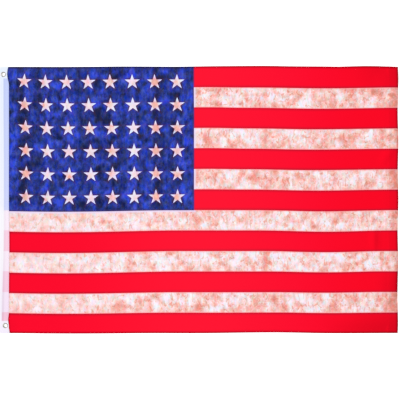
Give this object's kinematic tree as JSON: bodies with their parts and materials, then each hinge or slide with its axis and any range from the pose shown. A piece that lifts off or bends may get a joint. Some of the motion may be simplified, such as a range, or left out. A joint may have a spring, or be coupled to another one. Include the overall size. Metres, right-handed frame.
{
  "type": "antique-style printed stars-and-stripes flag with eyelets",
  "caption": "Rectangular printed cloth flag with mottled stars and stripes, hemmed edges and a white header band with metal eyelets for hoisting, laid out flat.",
  "frame": {"origin": "under the middle of the whole flag, on the surface that it lies on", "axes": "+X from the hoist edge to the fly edge, +Y towards the flag's top edge, +Z out of its printed face"},
  "size_m": [0.904, 0.6042, 0.0044],
  "materials": {
    "printed_cloth": "thin woven polyester, printed, matt with a slight sheen",
    "header_tape": "white woven tape, matt, slightly see-through where it is one layer",
    "stitching": "spun sewing thread, matt",
    "eyelet_metal": "nickel-plated, satin, pressed"
  },
  "bodies": {
    "root": {"flag_cloth": "printed_cloth", "header_band": "header_tape", "eyelet_top": "eyelet_metal", "eyelet_bottom": "eyelet_metal", "washer_top": "eyelet_metal", "washer_bottom": "eyelet_metal"}
  },
  "joints": []
}
